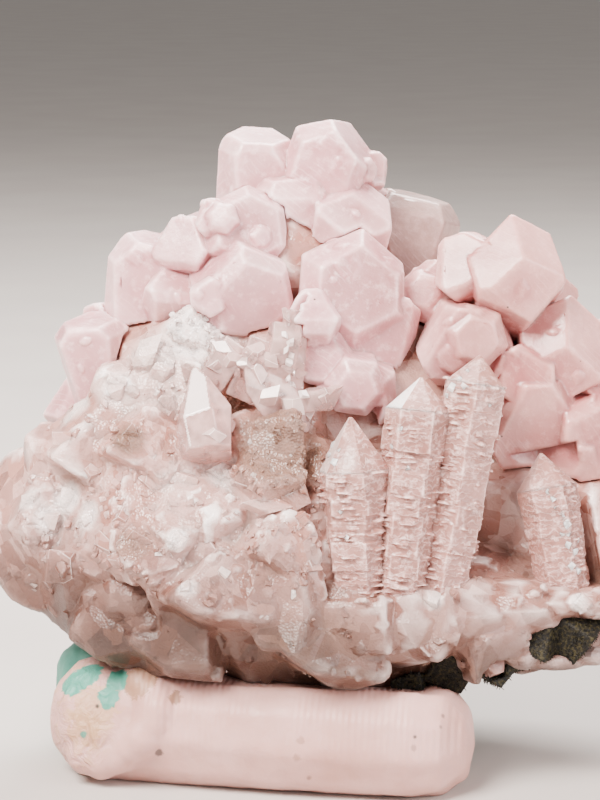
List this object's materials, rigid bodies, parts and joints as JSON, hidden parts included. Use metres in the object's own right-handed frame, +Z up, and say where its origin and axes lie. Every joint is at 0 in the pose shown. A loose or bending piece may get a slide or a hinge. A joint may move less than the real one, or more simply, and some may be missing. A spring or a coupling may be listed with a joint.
{
  "type": "calcite crystal cluster",
  "caption": "Calcite cluster: blocky pink-white crystals and stepped pointed columns on a broken mass, resting on kneaded rolls of mounting putty.",
  "frame": {"origin": "middle of the box's base, on the surface that the putty rests on", "axes": "+Z up, the side shown in the picture faces -Y, +X is to its right"},
  "size_m": [0.055, 0.0352, 0.0513],
  "materials": {
    "massive_calcite": "broken, satin, slightly translucent",
    "blocky_calcite": "frosted crystal faces, translucent",
    "grey_calcite": "frosted crystal faces, greyer",
    "column_calcite": "stepped and sugary, satin",
    "clear_calcite": "glassy, see-through",
    "dark_mineral": "fibrous, dull",
    "pale_putty": "kneaded, soft sheen",
    "teal_putty": "kneaded, matt"
  },
  "bodies": {
    "root": {"matrix": "massive_calcite", "peak_crystals": "blocky_calcite", "middle_crystals": "blocky_calcite", "left_crystals": "blocky_calcite", "far_left_crystals": "blocky_calcite", "right_crystals": "blocky_calcite", "back_crystals": "grey_calcite", "left_column": "column_calcite", "middle_column": "column_calcite", "right_column": "column_calcite", "side_column": "column_calcite", "clear_point": "clear_calcite", "broken_crystals": "clear_calcite", "dark_mineral": "dark_mineral", "pocket_crystal": "grey_calcite", "putty_roll": "pale_putty", "teal_putty": "teal_putty"}
  },
  "joints": []
}
